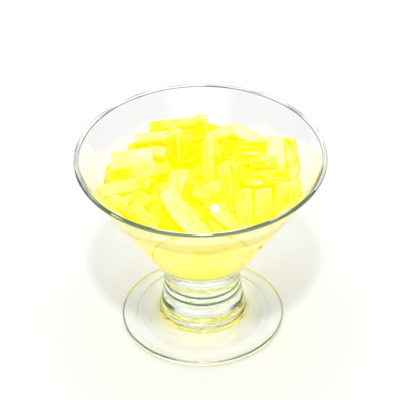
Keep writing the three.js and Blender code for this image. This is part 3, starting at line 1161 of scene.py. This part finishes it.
@dataclass(frozen=True)
class WetSpots:
    """Small bubbles on the strips, and one flat wet spot that mirrors the light. Sizes in mm."""

    heap: Piece
    bubbles: tuple[Triple, ...] = (
        (-23.0, 6.7, 0.8), (-24.0, -18.7, 0.5), (-22.4, -17.6, 0.4), (1.4, 42.0, 0.9), (2.6, 41.0, 0.6),
        (11.9, 27.0, 0.6), (29.0, 11.5, 0.7), (31.9, 9.1, 0.6), (26.2, 8.4, 0.5), (35.8, 6.8, 0.7),
        (45.6, 1.0, 0.8), (45.8, 3.0, 0.6), (20.5, -34.3, 0.7), (19.2, -33.0, 0.5), (-14.6, -1.8, 0.5),
        (3.2, -13.0, 0.5), (9.0, 4.5, 0.4), (-34.5, -14.2, 0.4), (14.5, -27.6, 0.4), (-19.0, 21.4, 0.5),
    )
    facet_place: Triple = (6.6, -24.9, 83.9)
    facet_size: Triple = (4.4, 6.8, 0.8)
    facet_spin: float = 14.0
    facet_roll: float = 38.9
    facet_softness: float = 0.3
    drop_height: float = 120.0
    bubble_flatness: float = 0.75

    def build(self) -> None:
        """Lays the bubbles where they fall on the strips, and the wet spot on its strip."""
        self.lay_bubbles()
        self.lay_wet_spot()

    def lay_bubbles(self) -> None:
        """Drops each bubble on the strip below it and joins them all."""
        tree = ray_tree(self.heap)
        bubbles = []
        for x, y, radius in self.bubbles:
            hit = tree.ray_cast(Vector((x, y, self.drop_height)) * MM, Vector((0, 0, -1)))[0]
            deselect_everything()
            bpy.ops.mesh.primitive_uv_sphere_add(segments=14, ring_count=9, radius=radius * MM, location=hit)
            bubble = bpy.context.object
            bubble.scale = (1.0, 1.0, self.bubble_flatness)
            settle(bubble)
            bpy.ops.object.shade_smooth()
            bubbles.append(bubble)
        deselect_everything()
        for bubble in bubbles:
            bubble.select_set(True)
        bpy.context.view_layer.objects.active = bubbles[0]
        bpy.ops.object.join()
        bubbles[0].name = bubbles[0].data.name = "bubbles"
        finish_piece(bubbles[0], Bubble().material(), HEAP_NODE)

    def lay_wet_spot(self) -> None:
        """Lays the flat wet spot, turned so that it mirrors the light."""
        facet = bar("wet_spot", self.facet_size)
        apply_modifier(facet, "BEVEL", width=self.facet_softness * MM, segments=2)
        facet.rotation_euler = (0.0, 0.0, math.radians(self.facet_spin))
        settle(facet)
        facet.rotation_euler = (math.radians(self.facet_roll), 0.0, 0.0)
        facet.location = Vector(self.facet_place) * MM
        settle(facet)
        finish_piece(facet, YellowSyrup().material(), HEAP_NODE)


# ---- The studio ----


@dataclass(frozen=True)
class Camera:
    """The camera: its aim in mm, its distance, and its angles in degrees."""

    aim: Triple = (-0.553, 0.0, 71.716)
    distance: float = 1243.45
    pitch: float = 37.7588
    roll: float = -0.8934
    lens: float = 234.0
    sensor: float = 36.0

    def build(self) -> None:
        """Places the camera and makes it the scene's own."""
        data = bpy.data.cameras.new("camera")
        data.lens, data.sensor_width, data.clip_end = self.lens, self.sensor, 50.0
        camera = bpy.data.objects.new("camera", data)
        bpy.context.scene.collection.objects.link(camera)
        pitch = math.radians(self.pitch)
        back = Vector((0.0, -math.cos(pitch), math.sin(pitch)))
        camera.location = (Vector(self.aim) + back * self.distance) * MM
        camera.rotation_mode = "QUATERNION"
        turn = (-back).to_track_quat("-Z", "Y")
        camera.rotation_quaternion = turn @ Quaternion((0, 0, 1), math.radians(self.roll))
        bpy.context.scene.camera = camera


@dataclass(frozen=True)
class Studio:
    """A pale floor, painted lighter farther out, under soft white light and one soft lamp above the camera.
    Lengths in m.
    """

    floor_size: float = 8.0
    floor_drop: float = 0.0001
    floor_span: Span = (0.3, 0.6)
    # The floor is painted lighter farther out, as if more light fell there.
    floor_near: Colour = (0.85, 0.85, 0.85, 1.0)
    floor_far_painted_lighter: Colour = (0.94, 0.94, 0.94, 1.0)
    sky: float = 0.9
    backdrop: float = 0.25
    shade: float = 0.95
    side_width: Span = (0.35, 0.55)
    side_height: Span = (0.8, 0.55)
    behind_width: Span = (0.2, 0.6)
    behind_height: Span = (0.35, 0.15)
    light_place: Triple = (-0.02, -0.70, 1.545)
    light_aim: Triple = (0.0, 0.0, 0.09)
    light_width: float = 4.4
    light_power: float = 1.9

    def build(self) -> None:
        """Lays the floor and hangs the lights."""
        self.lay_floor()
        self.light_sky()
        self.hang_lamp()
        scene = bpy.context.scene
        scene.view_settings.view_transform = "Standard"
        scene.cycles.max_bounces = 32
        scene.cycles.transmission_bounces = 24
        scene.cycles.transparent_max_bounces = 32
        scene.cycles.diffuse_bounces = 8
        scene.cycles.glossy_bounces = 8

    def lay_floor(self) -> None:
        """Lays the pale floor just under the foot, painted lighter farther from the middle as if more light
        fell there.
        """
        deselect_everything()
        bpy.ops.mesh.primitive_plane_add(size=self.floor_size, location=(0, 0, -self.floor_drop))
        floor = bpy.context.object
        floor.name = floor.data.name = "pale_floor"
        settle(floor)
        sheet = Sheet("pale_matt_floor")
        distance = sheet.node("VectorMath", sheet.place(), operation="LENGTH").outputs["Value"]
        colour = sheet.blend(sheet.fade(distance, self.floor_span), self.floor_near, self.floor_far_painted_lighter)
        shader = sheet.principled(Roughness=0.6, Base_Color=colour, Specular_IOR_Level=0.2)
        floor.data.materials.append(sheet.show(shader))

    def light_sky(self) -> None:
        """Fills the room with white light: brightest low down behind, dark low down at both sides."""
        world = bpy.data.worlds.new("white_room")
        bpy.context.scene.world = world
        world.use_nodes = True
        sky = Shading(world.node_tree)
        x, y, z = sky.split(sky.node("TexCoord").outputs["Generated"])
        side = sky.product(sky.fade(sky.math("ABSOLUTE", x), self.side_width), sky.fade(z, self.side_height))
        low = sky.fade(sky.math("ABSOLUTE", z), self.behind_height)
        behind = sky.product(sky.fade(y, self.behind_width), low)
        unlit = sky.math("SUBTRACT", 1.0, sky.product(side, self.shade))
        strength = sky.product(sky.share(behind, self.sky, self.backdrop), unlit)
        ground = world.node_tree.nodes["Background"]
        ground.inputs["Color"].default_value = WHITE
        sky.join(strength, ground.inputs["Strength"])

    def hang_lamp(self) -> None:
        """Lets the soft light fall from above and behind the camera."""
        data = bpy.data.lights.new("soft_light", "SUN")
        data.energy, data.angle = self.light_power, math.radians(self.light_width)
        light = bpy.data.objects.new("soft_light", data)
        bpy.context.scene.collection.objects.link(light)
        light.location = self.light_place
        aim = Vector(self.light_aim) - light.location
        light.rotation_euler = aim.to_track_quat("-Z", "Y").to_euler()


def main() -> None:
    """Builds the object round its frame, then its studio."""
    logging.basicConfig(level=logging.INFO, format="%(name)s: %(message)s")
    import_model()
    coupe = GlassCoupe()
    coupe.build()
    SyrupPool(coupe).build()
    WetSpots(JellyHeap(coupe).build()).build()
    SunkStrips(coupe).build()
    Studio().build()
    Camera().build()
    deselect_everything()


if __name__ == "__main__":
    main()
